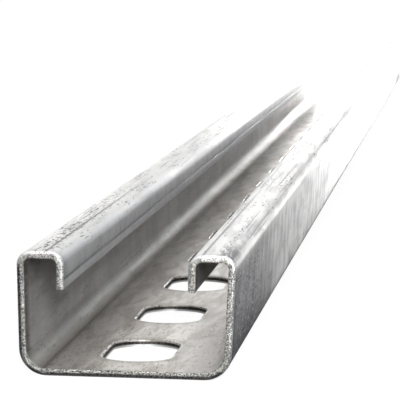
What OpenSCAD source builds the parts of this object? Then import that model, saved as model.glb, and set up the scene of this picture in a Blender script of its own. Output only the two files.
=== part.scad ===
// Perforated strut channel: one length of roll-formed sheet section, lying on its web, open side up.
// X runs across the channel, Y along it and Z up. The origin is under the middle of the web.

/* [Section] */
// Overall width across the two top bends, mm
channel_width = 41.3; // [38:0.1:45]
// Height from the web's underside to the tops of the lips, mm
channel_height = 23.5; // [21:0.5:42]
// Thickness of the sheet that the section is rolled from, mm
sheet_thickness = 1.4; // [1.2:0.1:2]
// Angle by which each side wall stands open from square, as rolled sections spring back, degrees
wall_opening_angle = 2; // [0:0.25:3]
// Outer radius of the two bends between the web and the side walls, mm
web_bend_radius = 5.2; // [3:0.1:6]
// Outer radius of the four bends at the tops of the walls and along the mouth, mm
lip_bend_radius = 2.6; // [2.2:0.1:3.4]

/* [Lips] */
// Width of each lip, from the outside of its wall to the mouth, mm
lip_width = 9; // [8:0.1:10.5]
// Depth to which each lip turns down into the channel, mm
lip_depth = 7.1; // [5:0.1:9]

/* [Length] */
// Length of the piece of stock, mm
channel_length = 1000; // [200:50:2000]

/* [Slots] */
// Distance between the middles of neighbouring slots, mm
slot_pitch = 50; // [40:1:60]
// Length of each slot over its round ends, mm
slot_length = 27; // [20:0.5:32]
// Width of each slot, mm
slot_width = 13.5; // [11:0.5:14.5]
// Radius to which the punch draws in the slot's rim on the inner face, mm
slot_rim_radius = 0.4; // [0.1:0.1:0.8]

/* [Hidden] */
$fn = 96;
// How far a cutting shape reaches past the surface that it cuts
cutter_overrun = 1;
half_width = channel_width / 2;
half_mouth = half_width - lip_width;
// Centres of the bends on the right-hand side: the top ones share a height
top_bend_z = channel_height - lip_bend_radius;
wall_bend_x = half_width - lip_bend_radius;
mouth_bend_x = half_mouth + lip_bend_radius;
// The wall is one plane that touches both of its bends, so the web's bend follows from the opening angle
web_bend_x = (wall_bend_x * cos(wall_opening_angle)
    - (top_bend_z - web_bend_radius) * sin(wall_opening_angle)
    + lip_bend_radius - web_bend_radius) / cos(wall_opening_angle);
lip_edge_z = channel_height - lip_depth;
slot_end_radius = slot_width / 2;
slot_straight = slot_length - slot_width;
slot_count = floor(channel_length / slot_pitch);
// The stock is cut midway between two slots
first_slot_y = (slot_pitch - channel_length) / 2;

// Right-hand side of the section's outline, drawn in from the outer face by inset.
// The points are where the flats meet the bends, from the web round to the lip's lower edge.
function right_side(inset) = [
    [web_bend_x, inset],
    [web_bend_x + (web_bend_radius - inset) * cos(wall_opening_angle),
        web_bend_radius - (web_bend_radius - inset) * sin(wall_opening_angle)],
    [wall_bend_x + (lip_bend_radius - inset) * cos(wall_opening_angle),
        top_bend_z - (lip_bend_radius - inset) * sin(wall_opening_angle)],
    [wall_bend_x, channel_height - inset],
    [mouth_bend_x, channel_height - inset],
    [half_mouth + inset, top_bend_z],
    [half_mouth + inset, lip_edge_z],
];

function left_side(inset) = let (points = right_side(inset))
    [for (i = [len(points) - 1 : -1 : 0]) [-points[i][0], points[i][1]]];

// The closed shape inside one face of the sheet: the flats from the points above, the bends from circles
module outline(inset) {
    polygon(concat(right_side(inset), left_side(inset)));
    for (side = [-1, 1]) {
        translate([side * web_bend_x, web_bend_radius])
            circle(r = web_bend_radius - inset);
        translate([side * wall_bend_x, top_bend_z])
            circle(r = lip_bend_radius - inset);
        translate([side * mouth_bend_x, top_bend_z])
            circle(r = lip_bend_radius - inset);
    }
}

// The rolled strip: what lies between the sheet's outer and inner faces
module section() {
    difference() {
        outline(0);
        outline(sheet_thickness);
    }
}

module rolled_section() {
    rotate([90, 0, 0])
        linear_extrude(height = channel_length, center = true)
            section();
}

// Half of the rim's profile across a slot, from the slot's middle out to where the rim meets the web
module rim_half() {
    rim_reach = slot_end_radius + slot_rim_radius;
    difference() {
        square([rim_reach, slot_rim_radius + cutter_overrun]);
        translate([rim_reach, 0])
            circle(r = slot_rim_radius);
    }
}

// The rounded rim round the slot's inner edge, cut as a run along each side and a turn round each end
module slot_rim() {
    rotate([90, 0, 0])
        linear_extrude(height = slot_straight, center = true) {
            rim_half();
            mirror([1, 0])
                rim_half();
        }
    for (end = [-1, 1])
        translate([0, end * slot_straight / 2, 0])
            rotate_extrude()
                rim_half();
}

module slot_outline() {
    square([slot_width, slot_straight], center = true);
    for (end = [-1, 1])
        translate([0, end * slot_straight / 2])
            circle(r = slot_end_radius);
}

module slot() {
    translate([0, 0, -cutter_overrun])
        linear_extrude(height = sheet_thickness + 2 * cutter_overrun)
            slot_outline();
    translate([0, 0, sheet_thickness - slot_rim_radius])
        slot_rim();
}

module strut_channel() {
    color([0.72, 0.73, 0.73])
        difference() {
            rolled_section();
            for (i = [0 : slot_count - 1])
                translate([0, first_slot_y + i * slot_pitch, 0])
                    slot();
        }
}

strut_channel();
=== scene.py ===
import math

import bmesh
import bpy
from mathutils import Matrix, Vector


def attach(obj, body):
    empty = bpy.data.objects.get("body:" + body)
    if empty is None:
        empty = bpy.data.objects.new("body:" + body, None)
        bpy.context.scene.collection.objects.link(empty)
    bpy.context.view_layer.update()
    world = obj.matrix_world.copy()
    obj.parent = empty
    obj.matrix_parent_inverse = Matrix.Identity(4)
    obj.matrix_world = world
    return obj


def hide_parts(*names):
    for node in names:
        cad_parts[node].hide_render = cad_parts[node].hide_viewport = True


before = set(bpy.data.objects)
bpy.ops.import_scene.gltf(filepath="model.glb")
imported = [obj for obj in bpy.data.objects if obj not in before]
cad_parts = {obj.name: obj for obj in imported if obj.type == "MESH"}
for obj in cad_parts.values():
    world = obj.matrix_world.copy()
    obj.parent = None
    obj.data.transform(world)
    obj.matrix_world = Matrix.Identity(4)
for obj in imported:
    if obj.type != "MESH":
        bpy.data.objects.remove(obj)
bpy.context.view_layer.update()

# ---------------------------------------------------------------------------------------------
# Rolled strip: one band of thin galvanised sheet, folded between rollers into a C with its lips
# turned in. It is drawn here as the sheet's outer face, folded bend by bend from the web outwards,
# and then given its thickness inwards.
# ---------------------------------------------------------------------------------------------
MM = 0.001
channel_length = 1000 * MM
channel_width = 41.3 * MM
channel_height = 23.5 * MM
sheet_thickness = 1.4 * MM
wall_opening = math.radians(2)
web_bend_radius = 5.2 * MM
lip_bend_radius = 2.6 * MM
lip_width = 9 * MM
lip_depth = 7.1 * MM
cell_length = 10 * MM
web_cells = 12
bend_steps = 9
wall_rows = 5
lip_rows = 3
crease_rows = 2
# The rollers that set the lips press a crease along the mouth side of each, above its lower edge.
# The crease runs out a little before the cut ends.
crease_height = 1.95 * MM
crease_width = 0.32 * MM
crease_depth = 0.10 * MM
crease_run_outs = (3.0 * MM, 2.4 * MM)

half_length = channel_length / 2
half_width = channel_width / 2
half_mouth = half_width - lip_width
top_bend_z = channel_height - lip_bend_radius
wall_bend_x = half_width - lip_bend_radius
mouth_bend_x = half_mouth + lip_bend_radius
web_bend_x = (wall_bend_x * math.cos(wall_opening)
              - (top_bend_z - web_bend_radius) * math.sin(wall_opening)
              + lip_bend_radius - web_bend_radius) / math.cos(wall_opening)
# The wall is the flat between its two bends, the common tangent of their arcs.
bend_distance = math.hypot(wall_bend_x - web_bend_x, top_bend_z - web_bend_radius)
wall_length = math.sqrt(bend_distance ** 2 - (web_bend_radius - lip_bend_radius) ** 2)
lip_edge_z = channel_height - lip_depth
crease_z = lip_edge_z + crease_height
quarter = math.pi / 2
# Points nearer than this are at one place, in metres
close = 1e-6


def work_on(piece, mode="OBJECT"):
    bpy.ops.object.select_all(action="DESELECT")
    piece.select_set(True)
    bpy.context.view_layer.objects.active = piece
    bpy.ops.object.mode_set(mode=mode)


def pick(piece, kind, test):
    """In edit mode, selects only the edges or faces that pass the test."""
    bpy.ops.mesh.select_mode(type=kind)
    mesh = bmesh.from_edit_mesh(piece.data)
    for part in (mesh.faces, mesh.edges, mesh.verts):
        for item in part:
            item.select = False
    chosen = [item for item in (mesh.edges if kind == "EDGE" else mesh.faces) if test(item)]
    for item in chosen:
        item.select_set(True)
    bmesh.update_edit_mesh(piece.data)
    return len(chosen)


def all_points(test):
    """A test for pick that every corner has to pass."""
    return lambda item: all(test(v.co) for v in item.verts)


def drawn_on(steps, across, up):
    """Extrudes the selected edges along a flat, in equal steps."""
    for _ in range(steps):
        bpy.ops.mesh.extrude_edges_move(
            TRANSFORM_OT_translate={"value": (across / steps, 0, up / steps)})


def apply_modifier(piece, name, kind, **settings):
    modifier = piece.modifiers.new(name, kind)
    for setting, value in settings.items():
        setattr(modifier, setting, value)
    work_on(piece)
    bpy.ops.object.modifier_apply(modifier=name)


bpy.ops.object.select_all(action="DESELECT")
bpy.ops.mesh.primitive_grid_add(x_subdivisions=web_cells,
                                y_subdivisions=round(channel_length / cell_length), size=1)
channel = bpy.context.object
channel.name = channel.data.name = "rolled_channel"
channel.scale = (2 * web_bend_x, channel_length, 1)
bpy.ops.object.transform_apply(location=True, rotation=True, scale=True)

work_on(channel, "EDIT")
for side in (1, -1):
    pick(channel, "EDGE",
         all_points(lambda p: abs(p.x - side * web_bend_x) < close and abs(p.z) < close))
    bpy.ops.mesh.spin(steps=bend_steps, angle=side * (quarter - wall_opening), axis=(0, 1, 0),
                      center=(side * web_bend_x, 0, web_bend_radius))
    drawn_on(wall_rows, side * wall_length * math.sin(wall_opening),
             wall_length * math.cos(wall_opening))
    bpy.ops.mesh.spin(steps=bend_steps, angle=side * (quarter + wall_opening), axis=(0, 1, 0),
                      center=(side * wall_bend_x, 0, top_bend_z))
    drawn_on(lip_rows, side * (mouth_bend_x - wall_bend_x), 0)
    bpy.ops.mesh.spin(steps=bend_steps, angle=side * quarter, axis=(0, 1, 0),
                      center=(side * mouth_bend_x, 0, top_bend_z))
    drawn_on(lip_rows, 0, crease_z + crease_width / 2 - top_bend_z)
    drawn_on(crease_rows, 0, -crease_width)
    drawn_on(crease_rows, 0, crease_width / 2 - crease_height)
bpy.ops.mesh.select_all(action="SELECT")
bpy.ops.mesh.remove_doubles(threshold=close)
for gap in crease_run_outs:
    for y in (gap - half_length, half_length - gap):
        bpy.ops.mesh.select_all(action="SELECT")
        bpy.ops.mesh.bisect(plane_co=(0, y, 0), plane_no=(0, 1, 0))
bpy.ops.mesh.select_all(action="SELECT")
bpy.ops.mesh.normals_make_consistent(inside=False)
bpy.ops.object.mode_set(mode="OBJECT")
web_face = min(channel.data.polygons, key=lambda f: f.center.length)
if web_face.normal.z > 0:
    channel.data.flip_normals()
outer_corners = len(channel.data.vertices)
channel.vertex_groups.new(name="inner_face")
apply_modifier(channel, "thickness", "SOLIDIFY", thickness=sheet_thickness, offset=-1,
               use_even_offset=True, shell_vertex_group="inner_face")

# The shear that cut the stock to length drew the sheet's outer edge over and tore the rest. The
# slitter left the lips' edges a little blunt. Both shares are of the roll-over's width.
sheared_roll_over = 0.62 * MM
roll_over_profile = 0.33
roll_over_steps = 3
lip_edge_share = 0.35
blunt_share = 0.16
torn_facet = 0.26 * MM
torn_rows = 3
torn_relief = 0.16 * MM
torn_grain = 0.35 * MM
# How far a point belongs to the inner face before it is torn, and how fast the tearing grows there
inner_enough = 0.8
tear_gain = 1.5

work_on(channel, "EDIT")
mesh = bmesh.from_edit_mesh(channel.data)
mesh.verts.ensure_lookup_table()
blunting = mesh.edges.layers.float.new("bevel_weight_edge")
facets = mesh.edges.layers.int.new("facets")
facet_counts = set()


def at_cut_end(item):
    return all(abs(abs(v.co.y) - half_length) < close for v in item.verts)


for edge in mesh.edges:
    outer = all(v.index < outer_corners for v in edge.verts)
    inner = all(v.index >= outer_corners for v in edge.verts)
    at_lip = all(abs(v.co.z - lip_edge_z) < close for v in edge.verts)
    if outer and at_cut_end(edge):
        edge[blunting] = 1
    elif at_lip and outer:
        edge[blunting] = lip_edge_share
    elif (at_cut_end(edge) or at_lip) and inner:
        edge[blunting] = blunt_share
for face in mesh.faces:
    if at_cut_end(face):
        along = [e for e in face.edges if len({v.index < outer_corners for v in e.verts}) == 1]
        cuts = round(max(e.calc_length() for e in along) / torn_facet) - 1
        facet_counts.add(cuts)
        for edge in along:
            edge[facets] = cuts
bmesh.update_edit_mesh(channel.data)
for cuts in sorted(facet_counts - {0, -1}):
    layer = bmesh.from_edit_mesh(channel.data).edges.layers.int["facets"]
    pick(channel, "EDGE", lambda e: e[layer] == cuts and at_cut_end(e))
    bpy.ops.mesh.subdivide(number_cuts=cuts)
for side in (1, -1):
    pick(channel, "EDGE", all_points(lambda p: abs(p.z - crease_z) < close
                                     and abs(p.x - side * half_mouth) < close
                                     and abs(p.y) < half_length - crease_run_outs[0] + close))
    bpy.ops.transform.translate(value=(side * crease_depth, 0, 0))
bpy.ops.object.mode_set(mode="OBJECT")
apply_modifier(channel, "blunted", "BEVEL", limit_method="WEIGHT", width=sheared_roll_over,
               segments=roll_over_steps, profile=roll_over_profile)

work_on(channel, "EDIT")
pick(channel, "EDGE", lambda e: at_cut_end(e) and e.calc_length() > 2 * torn_facet)
bpy.ops.mesh.subdivide(number_cuts=torn_rows)
bpy.ops.object.mode_set(mode="OBJECT")
# The torn part is the flat of each cut end and the blunted inner edge round it; the finishes' order
# on the piece is sheet, torn steel, punched wall.
sheet = bpy.data.materials.new("pregalvanised_sheet")
sheared_steel = bpy.data.materials.new("sheared_steel")
punched_wall = bpy.data.materials.new("punched_wall")
channel.data.materials.clear()
for finish in (sheet, sheared_steel, punched_wall):
    channel.data.materials.append(finish)
torn = channel.vertex_groups.new(name="torn")
inner_face = channel.vertex_groups["inner_face"].index
for face in channel.data.polygons:
    points = [channel.data.vertices[v] for v in face.vertices]
    shares = [sum(g.weight for g in p.groups if g.group == inner_face) for p in points]
    flat = all(abs(p.co.y) > half_length - close for p in points)
    rim = all(abs(p.co.y) > half_length - 2 * sheared_roll_over * blunt_share for p in points)
    rough = flat or (rim and min(shares) > inner_enough)
    slit = face.normal.z < -0.9 and all(abs(p.co.z - lip_edge_z) < close for p in points)
    if rough or slit:
        face.material_index = 1
    if rough:
        for corner, share in zip(face.vertices, shares):
            torn.add([corner], min(1, share * tear_gain), "REPLACE")
tearing = bpy.data.textures.new("torn_steel", "CLOUDS")
tearing.noise_scale = torn_grain
tearing.noise_depth = 1
apply_modifier(channel, "torn_edge", "DISPLACE", texture=tearing, vertex_group="torn",
               strength=torn_relief, mid_level=0.5)

# ---------------------------------------------------------------------------------------------
# Slots: a row of round-ended slots punched through the web from its inner side before the strip
# is folded. The punch draws the rim in, and below it tears the sheet to a rough dark wall.
# ---------------------------------------------------------------------------------------------
slot_pitch = 50 * MM
slot_length = 27 * MM
slot_width = 13.5 * MM
slot_rim_radius = 0.4 * MM
slot_corner_steps = 14
rim_steps = 3
cutter_overrun = 1 * MM
punch_rows = 3
punch_wander = 0.22 * MM
punch_wander_length = 3 * MM
burr_relief = 0.14 * MM
burr_grain = 0.5 * MM
# The ends are bevelled just short of the full half width, so that their two arcs stay apart.
nearly_all = 0.9995
sharp_angle = math.radians(35)

bpy.ops.object.select_all(action="DESELECT")
bpy.ops.mesh.primitive_cube_add(size=1)
punch = bpy.context.object
punch.name = "punch"
rim_base_z = sheet_thickness - slot_rim_radius
punch_height = rim_base_z + cutter_overrun
punch.scale = (slot_width, slot_length, punch_height)
punch.location.z = rim_base_z - punch_height / 2
bpy.ops.object.transform_apply(location=True, rotation=True, scale=True)
work_on(punch, "EDIT")


def upright(edge):
    return abs(edge.verts[0].co.z - edge.verts[1].co.z) > punch_height / 2


pick(punch, "EDGE", upright)
bpy.ops.mesh.bevel(offset=slot_width / 2 * nearly_all, segments=slot_corner_steps, affect="EDGES")
pick(punch, "EDGE", lambda e: not upright(e) and e.calc_length() > slot_width / 2)
bpy.ops.mesh.subdivide(number_cuts=slot_corner_steps)
pick(punch, "EDGE", upright)
bpy.ops.mesh.subdivide(number_cuts=punch_rows)
pick(punch, "FACE", all_points(lambda p: abs(p.z - rim_base_z) < close))
reach = 0
for step in range(1, rim_steps + 1):
    turn = quarter * step / rim_steps
    new_reach = slot_rim_radius * (1 - math.cos(turn))
    rise = slot_rim_radius * (math.sin(turn) - math.sin(turn - quarter / rim_steps))
    bpy.ops.mesh.extrude_region_move(TRANSFORM_OT_translate={"value": (0, 0, rise)})
    bpy.ops.transform.resize(
        value=((slot_width / 2 + new_reach) / (slot_width / 2 + reach),
               (slot_length / 2 + new_reach) / (slot_length / 2 + reach), 1),
        center_override=(0, 0, sheet_thickness))
    reach = new_reach
bpy.ops.mesh.extrude_region_move(TRANSFORM_OT_translate={"value": (0, 0, cutter_overrun)})
bpy.ops.object.mode_set(mode="OBJECT")

punch.data.materials.append(sheet)
punch.data.materials.append(punched_wall)
for face in punch.data.polygons:
    if abs(face.normal.z) < 0.1 and face.center.z < rim_base_z:
        face.material_index = 1

slot_count = round(channel_length / slot_pitch)
punches = []
for number in range(slot_count):
    copy = bpy.data.objects.new("punch_copy", punch.data.copy())
    copy.data.transform(Matrix.Translation((0, slot_pitch * (number + 0.5) - half_length, 0)))
    bpy.context.scene.collection.objects.link(copy)
    punches.append(copy)
bpy.data.objects.remove(punch)
work_on(punches[0])
for copy in punches:
    copy.select_set(True)
bpy.ops.object.join()
punches = bpy.context.object

# No two punched edges are quite alike: the rim wanders a little, and the torn wall is rough.
torn_wall = punches.vertex_groups.new(name="torn_wall")
torn_wall.add([v.index for v in punches.data.vertices if v.co.z < rim_base_z - close], 1, "REPLACE")
for direction, basis in (("X", "ORIGINAL_PERLIN"), ("Y", "IMPROVED_PERLIN")):
    wander = bpy.data.textures.new("wander_" + direction, "CLOUDS")
    wander.noise_scale = punch_wander_length
    wander.noise_basis = basis
    apply_modifier(punches, "wander", "DISPLACE", texture=wander, direction=direction,
                   strength=punch_wander, mid_level=0.5)
    burr = bpy.data.textures.new("burr_" + direction, "CLOUDS")
    burr.noise_scale = burr_grain
    burr.noise_basis = basis
    apply_modifier(punches, "burr", "DISPLACE", texture=burr, direction=direction,
                   strength=burr_relief, mid_level=0.5, vertex_group="torn_wall")

apply_modifier(channel, "punched", "BOOLEAN", operation="DIFFERENCE", solver="EXACT",
               material_mode="TRANSFER", object=punches)
bpy.data.objects.remove(punches)
work_on(channel)
bpy.ops.object.shade_smooth_by_angle(angle=sharp_angle)
apply_modifier(channel, "even_shading", "WEIGHTED_NORMAL", keep_sharp=True)
channel.vertex_groups.clear()


def linear(hex_colour):
    """An sRGB hex colour as the linear RGBA that Blender's sockets hold."""
    parts = [int(hex_colour[i:i + 2], 16) / 255 for i in (1, 3, 5)]
    return [c / 12.92 if c <= 0.04045 else ((c + 0.055) / 1.055) ** 2.4 for c in parts] + [1]


def add_node(tree, kind, inputs=None, **settings):
    """Adds a node with its settings. An input is either a value or another node's output, and
    goes by its name or its number. A colour mix has its two colours at 6 and 7, and gives output 2.
    """
    node = tree.nodes.new(kind)
    for name, value in settings.items():
        setattr(node, name, value)
    for name, value in (inputs or {}).items():
        if isinstance(value, bpy.types.NodeSocket):
            tree.links.new(value, node.inputs[name])
        else:
            node.inputs[name].default_value = value
    return node


# Pre-galvanised sheet: steel strip dipped in zinc before it was rolled. To the eye it is a dull,
# cloudy grey metal with soft reflections; its inside is painted darker and browner, as shade in
# the channel's hollow. The rollers drew fine dark lines along it and rubbed its lips, chatter left
# short marks across it, and handling left pits, smears and wiped dirt. The shear rubbed the
# rolled-over edge bright; painted highlight makes it white on the top and on the right, and
# painted shade makes it dark on the underside and on the left wall.
sheet.use_nodes = True
tree = sheet.node_tree
surface = tree.nodes["Principled BSDF"]
position = add_node(tree, "ShaderNodeTexCoord").outputs["Object"]
# Places in millimetres, from the near cut end
place = add_node(tree, "ShaderNodeMapping", {
    "Vector": position, "Scale": (1 / MM,) * 3, "Location": (0, half_length / MM, 0)}).outputs[0]
axes = add_node(tree, "ShaderNodeSeparateXYZ", {"Vector": place})
x, y, z = (axes.outputs[axis] for axis in "XYZ")
across = add_node(tree, "ShaderNodeMath", {0: x}, operation="ABSOLUTE").outputs[0]
# Distance out from the leaning wall's foot, so that it tells a wall's inner face from its outer
wall_place = add_node(tree, "ShaderNodeMath", {0: z, 1: -math.tan(wall_opening), 2: across},
                      operation="MULTIPLY_ADD").outputs[0]
# Distance to the nearer cut end
from_end = add_node(tree, "ShaderNodeMath", {0: y, 1: half_length / MM}, operation="SUBTRACT")
from_end = add_node(tree, "ShaderNodeMath", {0: from_end.outputs[0]}, operation="ABSOLUTE")
from_end = add_node(tree, "ShaderNodeMath", {0: half_length / MM, 1: from_end.outputs[0]},
                    operation="SUBTRACT").outputs[0]
masks = {}
# Patterns: size of one mark in mm along x, y and z, its turn about z in degrees, detail, and the
# noise levels at which the mark starts and is full
for name, size, turn, detail, start, full in (
        ("clouds", (6, 55, 7), 0, 4, 0.38, 0.62),
        ("blotches", (2.6, 22, 3.5), 4, 3, 0.50, 0.64),
        ("grain", (0.4, 2.2, 0.4), 0, 2, 0.35, 0.65),
        ("rolling_lines", (0.35, 110, 0.35), 0, 2, 0.54, 0.64),
        ("line_patches", (3, 60, 3), 0, 2, 0.47, 0.58),
        ("chatter", (5, 6.5, 9), 0, 2, 0.40, 0.68),
        ("scrapes", (6, 3.2, 15), 0, 3, 0.50, 0.62),
        ("speckle", (0.6, 4, 0.6), 0, 2, 0.57, 0.66),
        ("pits", (0.5, 3.0, 0.5), 0, 2, 0.56, 0.63),
        ("gouges", (0.5, 4.0, 0.5), 0, 3, 0.53, 0.60),
        ("rubs", (0.9, 6, 0.9), 5, 4, 0.43, 0.54),
        ("pit_patches", (1.7, 26, 2), 0, 2, 0.52, 0.60),
        ("smears", (2.6, 15, 2.6), -6, 8, 0.44, 0.66),
        ("wipes", (0.7, 16, 0.7), -18, 3, 0.56, 0.68),
        ("soft_bands", (30, 12, 60), 0, 2, 0.40, 0.62)):
    spread = add_node(tree, "ShaderNodeMapping", {
        "Vector": place, "Rotation": (0, 0, math.radians(turn)), "Scale": size},
        vector_type="TEXTURE")
    cloud = add_node(tree, "ShaderNodeTexNoise", {"Vector": spread.outputs[0], "Scale": 1,
                                                  "Detail": detail})
    masks[name] = add_node(tree, "ShaderNodeMapRange", {
        "Value": cloud.outputs["Fac"], "From Min": start, "From Max": full},
        interpolation_type="SMOOTHSTEP").outputs[0]
# Zones of the section: the value that tells them, and where they start and are full, in mm
for name, value, start, full in (
        ("lip_top", z, 21.4, 23.0),
        ("lip_flat", z, 22.0, 23.4),
        ("upper", z, 14.5, 15.5),
        ("lip_side", across, 12.8, 12.3),
        ("web", z, 2.6, 1.6),
        ("off_web", z, 1.7, 4.5),
        ("web_corner", z, 5.5, 3.0),
        ("left_bend", x, -14.0, -16.0),
        ("right_web_shade", x, 4, 14),
        ("right_side", x, 14, 16),
        ("slot_sides", across, 2, 5),
        ("left_web", x, -3, -12),
        ("outside", wall_place, 18.9, 19.3),
        ("inside", wall_place, 19.3, 18.9),
        ("low_wall_shade", z, 16, 4),
        ("below_bend", z, 22.5, 18),
        ("rolled_over", from_end, 0.65, 0.35),
        ("shear_line", from_end, 0.14, 0.05),
        ("cut_zone", y, 6.5, 1.5),
        ("near_third", y, 130, 50),
        ("pocket_depth", y, 27, 15),
        ("side_wall", across, 17.5, 18.5),
        ("pocket_shade_edge", z, 15.3, 16.5),
        ("lip_turn", across, 16.4, 14.8),
        ("underside", z, 2.2, 1.2),
        ("left_side", x, -19.2, -19.8),
        ("below_lip", z, 21.5, 20),
        ("first_stretch", y, 170, 60),
        ("first_slot", y, 75, 45),
        ("first_rub", y, 20, 9),
        ("below_crease", z, crease_z / MM, crease_z / MM - 0.3),
        ("lip_edge", z, lip_edge_z / MM + 0.32, lip_edge_z / MM + 0.16)):
    masks[name] = add_node(tree, "ShaderNodeMapRange", {
        "Value": value, "From Min": start, "From Max": full},
        interpolation_type="SMOOTHSTEP").outputs[0]
# How far a point lies outside its slot's round-ended outline, in mm
along = add_node(tree, "ShaderNodeMath", {0: y, 1: slot_pitch / MM, 2: 0}, operation="WRAP")
along = add_node(tree, "ShaderNodeMath", {0: along.outputs[0], 1: slot_pitch / 2 / MM},
                 operation="SUBTRACT")
along = add_node(tree, "ShaderNodeMath", {0: along.outputs[0]}, operation="ABSOLUTE")
along = add_node(tree, "ShaderNodeMath", {
    0: along.outputs[0], 1: (slot_length - slot_width) / 2 / MM}, operation="SUBTRACT")
along = add_node(tree, "ShaderNodeMath", {0: along.outputs[0], 1: 0}, operation="MAXIMUM")
spoke = add_node(tree, "ShaderNodeCombineXYZ", {"X": x, "Y": along.outputs[0]})
spoke = add_node(tree, "ShaderNodeVectorMath", {0: spoke.outputs[0]}, operation="LENGTH")
for name, start, full in (("slot_rim", 0.75, 0.3), ("slot_dirt", 3.5, 0.8)):
    rim_mask = add_node(tree, "ShaderNodeMapRange", {
        "Value": spoke.outputs["Value"], "From Min": slot_width / 2 / MM + start,
        "From Max": slot_width / 2 / MM + full}, interpolation_type="SMOOTHSTEP").outputs[0]
    masks[name] = add_node(tree, "ShaderNodeMath", {0: rim_mask, 1: masks["web"]},
                           operation="MULTIPLY").outputs[0]
# Single lines: the value that tells them, where they lie, and half their width, in mm
for name, value, middle, half in (
        ("left_hairline", x, -15.1, 0.38),
        ("lip_shoulder_shade", z, 22.5, 1.9),
        ("right_hairline", x, 14.4, 0.38),
        ("right_trail", x, 17.9, 0.7),
        ("right_scuff", x, 18.6, 2.4),
        ("left_scuff", x, -15.9, 2.2),
        ("crease", z, crease_z / MM, 0.42),
        ("bend_line", x, -15.4, 0.5),
        ("bend_glint", x, -16.3, 0.9)):
    off = add_node(tree, "ShaderNodeMath", {0: value, 1: middle}, operation="SUBTRACT")
    off = add_node(tree, "ShaderNodeMath", {0: off.outputs[0]}, operation="ABSOLUTE")
    masks[name] = add_node(tree, "ShaderNodeMapRange", {
        "Value": off.outputs[0], "From Min": half, "From Max": half * 0.4},
        interpolation_type="SMOOTHSTEP").outputs[0]


def overlap(tree, masks, names, strength):
    """One mask where all the named ones meet, times a strength."""
    mask = strength
    for name in names:
        mask = add_node(tree, "ShaderNodeMath", {0: masks[name], 1: mask},
                        operation="MULTIPLY").outputs[0]
    return mask


colour = add_node(tree, "ShaderNodeMix", {"Factor": masks["clouds"], 6: linear("#C2C2C1"),
                                          7: linear("#DEDEDD")}, data_type="RGBA").outputs[2]
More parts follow.
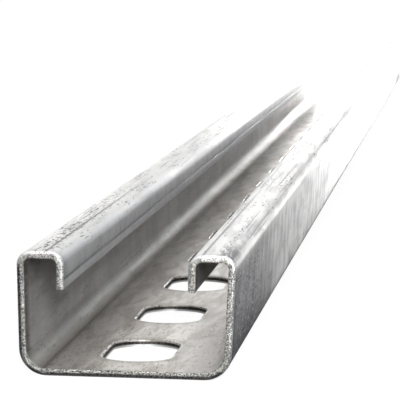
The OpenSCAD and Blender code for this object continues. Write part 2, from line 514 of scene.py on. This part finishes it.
# Stains and painted light and shade, each where all its patterns and zones meet, with its colour
# and strength
for names, stain_and_painted_light, strength in (
        (("grain",), "#EDEDEB", 0.22),
        (("blotches",), "#8F8E8C", 0.30),
        # Painted shade: the inside of the channel darker and browner, as in its hollow.
        (("inside", "off_web"), "#7E7A77", 0.62),
        (("soft_bands", "inside", "off_web"), "#5F5C5A", 0.25),
        # Much darker on the inner faces within a few mm of each cut end.
        (("inside", "off_web", "cut_zone"), "#2B2826", 0.95),
        # Painted shade of the lip, with a stain's edge: the inner wall in the pocket darker above
        # the height of the lip's lower edge, near the cut end.
        (("pocket_shade_edge", "pocket_depth", "side_wall", "inside"), "#55524F", 0.35),
        (("blotches", "side_wall", "inside", "first_stretch"), "#6A6663", 0.30),
        (("speckle", "side_wall", "inside", "first_slot"), "#BBB7B2", 0.30),
        (("web",), "#C8C0B6", 0.45),
        (("smears", "web"), "#857A6D", 0.45),
        (("wipes", "web"), "#DAD5CC", 0.08),
        (("pits", "web", "first_slot"), "#655C52", 0.38),
        (("speckle", "web", "first_slot"), "#D8D3CA", 0.20),
        (("blotches", "web"), "#7B7065", 0.30),
        (("lip_side", "upper"), "#ABAEAF", 0.55),
        (("chatter", "lip_side", "upper"), "#717475", 0.35),
        (("chatter", "outside", "below_bend"), "#6A696E", 0.45),
        # Painted shade: the right outer wall darker low down over its near third, and below its top
        # bend near the cut end.
        (("right_side", "outside", "low_wall_shade", "near_third"), "#3F3E45", 0.80),
        (("right_side", "outside", "below_bend", "first_slot"), "#4A4950", 0.45),
        (("right_side", "scrapes", "outside", "below_bend", "near_third"), "#3A3840", 0.50),
        (("speckle", "outside", "below_bend", "first_slot"), "#D5D4D8", 0.6),
        (("pits", "outside", "below_bend", "first_slot"), "#2E2D31", 0.6),
        # Painted shade on the lips' mouth-side bends, so that their reflection fades from the top
        # down.
        (("lip_shoulder_shade", "lip_turn"), "#72767A", 0.60),
        (("lip_flat",), "#F2F2F0", 0.50),
        (("blotches", "lip_top"), "#9A9A9D", 0.40),
        (("rolling_lines", "lip_top", "line_patches"), "#5E5A58", 0.75),
        (("left_scuff", "rubs", "lip_top", "first_stretch"), "#737171", 0.25),
        (("left_scuff", "gouges", "lip_top", "first_slot"), "#2B2422", 0.95),
        (("left_scuff", "pits", "lip_top", "first_stretch"), "#2B2523", 0.9),
        (("pits", "lip_top", "pit_patches"), "#3A3432", 0.70),
        (("right_scuff", "rubs", "lip_top", "first_rub"), "#3A383D", 0.9),
        (("right_scuff", "rubs", "lip_top", "first_slot"), "#77757A", 0.35),
        (("right_trail", "gouges", "lip_top", "first_slot"), "#454247", 0.85),
        (("left_hairline", "lip_top", "first_stretch"), "#332E2C", 0.8),
        (("right_hairline", "lip_top", "first_stretch"), "#45413F", 0.7),
        # Painted light: the band below the crease lighter, as if the lip's edge flared a little
        # towards the light.
        (("below_crease", "lip_side", "upper"), "#BCBEC0", 0.40),
        # Painted highlight: a white line along the blunt lower edge of each lip.
        (("lip_edge", "lip_side", "upper"), "#FFFFFF", 1.0),
        # Painted shade: a dark line in the pressed crease.
        (("crease", "lip_side", "upper"), "#33363A", 0.75),
        # Dust and painted shade: the web's left inner bend darker.
        (("left_bend", "web_corner"), "#45413D", 0.70),
        # Painted shade: the web darker towards and under the right lip.
        (("right_web_shade", "web"), "#88827D", 0.64),
        (("left_web", "web"), "#6E675F", 0.30),
        # A roll mark with painted shade along the edge of the web's left bend, and a painted glint
        # beside it.
        (("bend_line", "web_corner", "first_stretch"), "#4F4A45", 0.6),
        (("bend_glint", "web_corner", "first_stretch"), "#A8A29A", 0.25),
        (("slot_dirt", "web"), "#6B645B", 0.35),
        (("slot_rim", "slot_sides"), "#A39C92", 0.30),
        # Painted highlight on the drawn-in rims along the slots' sides, near the cut end.
        (("slot_rim", "slot_sides", "first_stretch"), "#E9E7E2", 0.55),
        (("slot_rim", "slot_sides", "pits"), "#3B3835", 0.8),
        (("rolled_over",), "#F0F0EE", 0.45),
        # Painted highlight: the roll-over whiter on the top and on the right side.
        (("rolled_over", "lip_top"), "#FFFFFF", 0.45),
        (("rolled_over", "right_side"), "#FFFFFF", 0.9),
        # Painted shade: the roll-over dark on the underside and on the left wall.
        (("rolled_over", "underside"), "#3A383B", 0.8),
        (("rolled_over", "left_side", "below_lip"), "#4C4953", 0.8),
        (("shear_line", "lip_top"), "#4A4845", 0.6)):
    colour = add_node(tree, "ShaderNodeMix", {
        "Factor": overlap(tree, masks, names, strength), 6: colour, 7: linear(stain_and_painted_light)},
        data_type="RGBA").outputs[2]
tree.links.new(colour, surface.inputs["Base Color"])
# Zinc's dull skin is not all metal to the eye, but the sheared roll-over is rubbed bright.
metal = 0.75
for names, change in ((("inside", "off_web"), -0.3), (("rolled_over",), 0.25)):
    metal = add_node(tree, "ShaderNodeMath", {0: overlap(tree, masks, names, change), 1: metal},
                     operation="ADD", use_clamp=True).outputs[0]
tree.links.new(metal, surface.inputs["Metallic"])
roughness = 0.44
for names, change in ((("clouds",), -0.04), (("grain",), 0.06), (("smears",), 0.03),
                      (("pits", "pit_patches"), 0.2), (("left_bend", "web_corner"), 0.12),
                      (("rolled_over",), -0.18)):
    roughness = add_node(tree, "ShaderNodeMath", {
        0: overlap(tree, masks, names, change), 1: roughness}, operation="ADD").outputs[0]
tree.links.new(roughness, surface.inputs["Roughness"])
height = 0.0
for names, change in ((("clouds",), 0.008), (("grain",), 0.006),
                      (("rolling_lines", "line_patches"), -0.02),
                      (("pits", "pit_patches"), -0.05)):
    height = add_node(tree, "ShaderNodeMath", {
        0: overlap(tree, masks, names, change), 1: height}, operation="ADD").outputs[0]
# Heights are in mm
bump = add_node(tree, "ShaderNodeBump", {"Height": height, "Strength": 1, "Distance": MM})
tree.links.new(bump.outputs[0], surface.inputs["Normal"])

# Sheared steel: the torn half of each cut end, where the bare steel broke away. It is bright and
# coarse, with dark specks painted where a facet turns from the light, and painted shade along the
# bottom of the web's cut end. Punched wall: the same steel inside the slots, dark, and painted
# white along its bottom as light from the white table below. Their grain is drawn at about 0.3 mm,
# some five times coarser than the real break, so that it shows.
for finish, size, dark, light, start, full, roughness, relief, low_start, low_full, low in (
        (sheared_steel, (0.28, 0.28, 0.28), "#4B4A48", "#B4B3AF", 0.38, 0.62, 0.5, 0.06,
         0.95, 0.55, "#4A484A"),
        (punched_wall, (0.3, 0.3, 0.8), "#393735", "#6E6B67", 0.40, 0.70, 0.55, 0.03,
         0.50, 0.28, "#F2F2F0")):
    finish.use_nodes = True
    tree = finish.node_tree
    surface = tree.nodes["Principled BSDF"]
    surface.inputs["Metallic"].default_value = 1
    surface.inputs["Roughness"].default_value = roughness
    position = add_node(tree, "ShaderNodeTexCoord").outputs["Object"]
    spread = add_node(tree, "ShaderNodeMapping", {
        "Vector": position, "Scale": [s * MM for s in size]}, vector_type="TEXTURE")
    cloud = add_node(tree, "ShaderNodeTexNoise", {"Vector": spread.outputs[0], "Scale": 1,
                                                  "Detail": 2})
    speck = add_node(tree, "ShaderNodeMapRange", {"Value": cloud.outputs["Fac"], "From Min": start,
                                                  "From Max": full})
    colour = add_node(tree, "ShaderNodeMix", {"Factor": speck.outputs[0], 6: linear(dark),
                                              7: linear(light)}, data_type="RGBA")
    axes = add_node(tree, "ShaderNodeSeparateXYZ", {"Vector": position})
    # The bottom band of each is painted: shade on the sheared steel, the table's light on the
    # punched wall.
    painted_low_band = add_node(tree, "ShaderNodeMapRange", {
        "Value": axes.outputs["Z"], "From Min": low_start * MM, "From Max": low_full * MM})
    colour = add_node(tree, "ShaderNodeMix", {
        "Factor": painted_low_band.outputs[0], 6: colour.outputs[2], 7: linear(low)}, data_type="RGBA")
    tree.links.new(colour.outputs[2], surface.inputs["Base Color"])
    bump = add_node(tree, "ShaderNodeBump", {"Height": cloud.outputs["Fac"], "Strength": 1,
                                             "Distance": relief * MM})
    tree.links.new(bump.outputs[0], surface.inputs["Normal"])

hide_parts("strut_channel")
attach(channel, "root")

# ---------------------------------------------------------------------------------------------
# Studio: a plain white table in a soft room that is brighter behind, with a close key light and
# a softbox at the front right and a lamp at the right. Four small low lights at the far half let
# the channel run away into brightness.
# ---------------------------------------------------------------------------------------------
bpy.ops.object.select_all(action="DESELECT")
bpy.ops.mesh.primitive_plane_add(size=60, location=(0, 0, -0.1 * MM))
floor = bpy.context.object
floor.name = "floor"
# Lit from within like a light table, with a little matt grey that takes the channel's shadow
table_glow = 0.93
table_grey = 0.1
table = bpy.data.materials.new("white_table")
table.use_nodes = True
tree = table.node_tree
tree.nodes.clear()
glow = add_node(tree, "ShaderNodeEmission", {"Color": (1, 1, 1, 1), "Strength": table_glow})
matt = add_node(tree, "ShaderNodeBsdfDiffuse", {"Color": (table_grey,) * 3 + (1,)})
both = add_node(tree, "ShaderNodeAddShader", {0: glow.outputs[0], 1: matt.outputs[0]})
add_node(tree, "ShaderNodeOutputMaterial", {"Surface": both.outputs[0]})
floor.data.materials.append(table)
floor.visible_glossy = False
floor.visible_diffuse = False

world = bpy.data.worlds.new("studio")
bpy.context.scene.world = world
world.use_nodes = True
tree = world.node_tree
tree.nodes.clear()
where = add_node(tree, "ShaderNodeTexCoord").outputs["Generated"]
axes = add_node(tree, "ShaderNodeSeparateXYZ", {"Vector": where})


def bands(tree, value, spots):
    """Brightness along one axis of the room, from pairs of place (-1 to 1) and brightness."""
    spread = add_node(tree, "ShaderNodeMapRange", {"Value": value, "From Min": -1, "From Max": 1})
    node = add_node(tree, "ShaderNodeValToRGB", {"Fac": spread.outputs[0]})
    for spot, level in spots[1:-1]:
        node.color_ramp.elements.new((spot + 1) / 2)
    for stop, (spot, level) in zip(node.color_ramp.elements, spots):
        stop.color = (level, level, level, 1)
    return node.outputs[0]


# The room's brightness by height all round, and the brighter low band that it has behind the
# channel instead
room = bands(tree, axes.outputs["Z"], (
    (-1, 0.28), (-0.17, 0.3), (0, 0.6), (0.14, 0.95), (0.34, 1.12), (0.7, 1.2), (1, 1.2)))
behind = bands(tree, axes.outputs["Z"], (
    (-1, 0.15), (-0.2, 0.05), (-0.145, 0.08), (-0.12, 0.45), (-0.087, 1.05), (-0.06, 1.4),
    (0, 1.45), (0.09, 1.4), (0.14, 1.25), (0.22, 0.85), (0.4, 1.12), (1, 1.2)))
back = add_node(tree, "ShaderNodeMapRange", {"Value": axes.outputs["Y"], "From Min": 0.64,
                                             "From Max": 0.87})
lit = add_node(tree, "ShaderNodeMix", {"Factor": back.outputs[0], 6: room, 7: behind},
               data_type="RGBA").outputs[2]
# Both are shaded from left to right and from front to back.
for axis, spots in (
        ("X", ((-1, 0.5), (-0.35, 0.75), (-0.2, 1.8), (-0.165, 1.8), (-0.135, 1.1), (-0.09, 1.25),
               (-0.05, 1.38), (0, 1.1), (0.06, 0.95), (0.13, 0.72), (0.2, 0.65), (1, 0.7))),
        ("Y", ((-1, 0.8), (0, 0.9), (1, 1.05)))):
    lit = add_node(tree, "ShaderNodeVectorMath",
                   {0: lit, 1: bands(tree, axes.outputs[axis], spots)},
                   operation="MULTIPLY").outputs[0]
# The room lights the channel but is itself seen as plain white.
path = add_node(tree, "ShaderNodeLightPath")
seen = add_node(tree, "ShaderNodeMix", {"Factor": path.outputs["Is Camera Ray"], 6: lit,
                                        7: (1, 1, 1, 1)}, data_type="RGBA")
sheen = add_node(tree, "ShaderNodeBackground", {"Color": seen.outputs[2], "Strength": 1})
add_node(tree, "ShaderNodeOutputWorld", {"Surface": sheen.outputs[0]})

# Lights: shape, size in metres, watts, beam in degrees, place and what they point at. The key's
# beam is narrow, so that it doesn't glare along the lips.
front = Vector((0, -half_length, channel_height / 2))
far = Vector((0, half_length, channel_height / 2))
for name, shape, size, power, beam, place, target in (
        ("key", "DISK", (0.01, 0.01), 0.024, 20, front + Vector((0.08, -0.4, 0.123)), front),
        ("softbox", "RECTANGLE", (0.8, 0.8), 8, 180, front + Vector((0.9, -1.0, 1.1)), front),
        ("side_lamp", "RECTANGLE", (0.15, 0.1), 0.15, 60, front + Vector((0.85, -0.5, 0.04)),
         front),
        ("middle_glow", "RECTANGLE", (0.09, 0.03), 0.018, 60, far + Vector((-0.015, -0.25, 0.042)),
         far + Vector((-0.015, -0.6, 0.03))),
        ("far_glow", "RECTANGLE", (0.09, 0.03), 0.010, 60, far + Vector((-0.01, 0.06, 0.042)),
         far + Vector((-0.01, -0.29, 0.03))),
        ("end_lamp", "RECTANGLE", (0.06, 0.024), 0.055, 30, far + Vector((0.005, 0.1, 0.008)),
         far + Vector((-0.005, -0.5, -0.004))),
        ("far_side", "RECTANGLE", (0.2, 0.2), 0.40, 34, far + Vector((0.45, 0.25, 0.02)),
         far - Vector((0, 0.35, 0)))):
    lamp = bpy.data.lights.new(name, "AREA")
    lamp.shape = shape
    lamp.size, lamp.size_y = size
    lamp.energy = power
    lamp.spread = math.radians(beam)
    light = bpy.data.objects.new(name, lamp)
    light.location = place
    light.rotation_euler = (target - place).to_track_quat("-Z", "Y").to_euler()
    light.visible_camera = False
    bpy.context.scene.collection.objects.link(light)
bpy.context.scene.view_settings.view_transform = "Standard"

# The camera looks along the channel from just in front of and above its near end.
lens_over_frame = 6.41275
camera_place = Vector((63.96 * MM, -469.02 * MM - half_length, 81.82 * MM))
yaw, pitch, roll = (math.radians(a) for a in (-6.11, 5.812, 0.736))
forward = Vector((math.sin(yaw) * math.cos(pitch), math.cos(yaw) * math.cos(pitch),
                  -math.sin(pitch)))
right = Vector((math.cos(yaw), -math.sin(yaw), 0))
up_way = right.cross(forward)
right, up_way = (math.cos(roll) * right + math.sin(roll) * up_way,
                 -math.sin(roll) * right + math.cos(roll) * up_way)
lens = bpy.data.cameras.new("camera")
lens.sensor_width = 36
lens.lens = lens_over_frame * lens.sensor_width
lens.clip_start = 0.01
lens.clip_end = 100
camera = bpy.data.objects.new("camera", lens)
bpy.context.scene.collection.objects.link(camera)
camera.matrix_world = Matrix.Translation(camera_place) \
    @ Matrix((right, up_way, -forward)).transposed().to_4x4()
bpy.context.scene.camera = camera
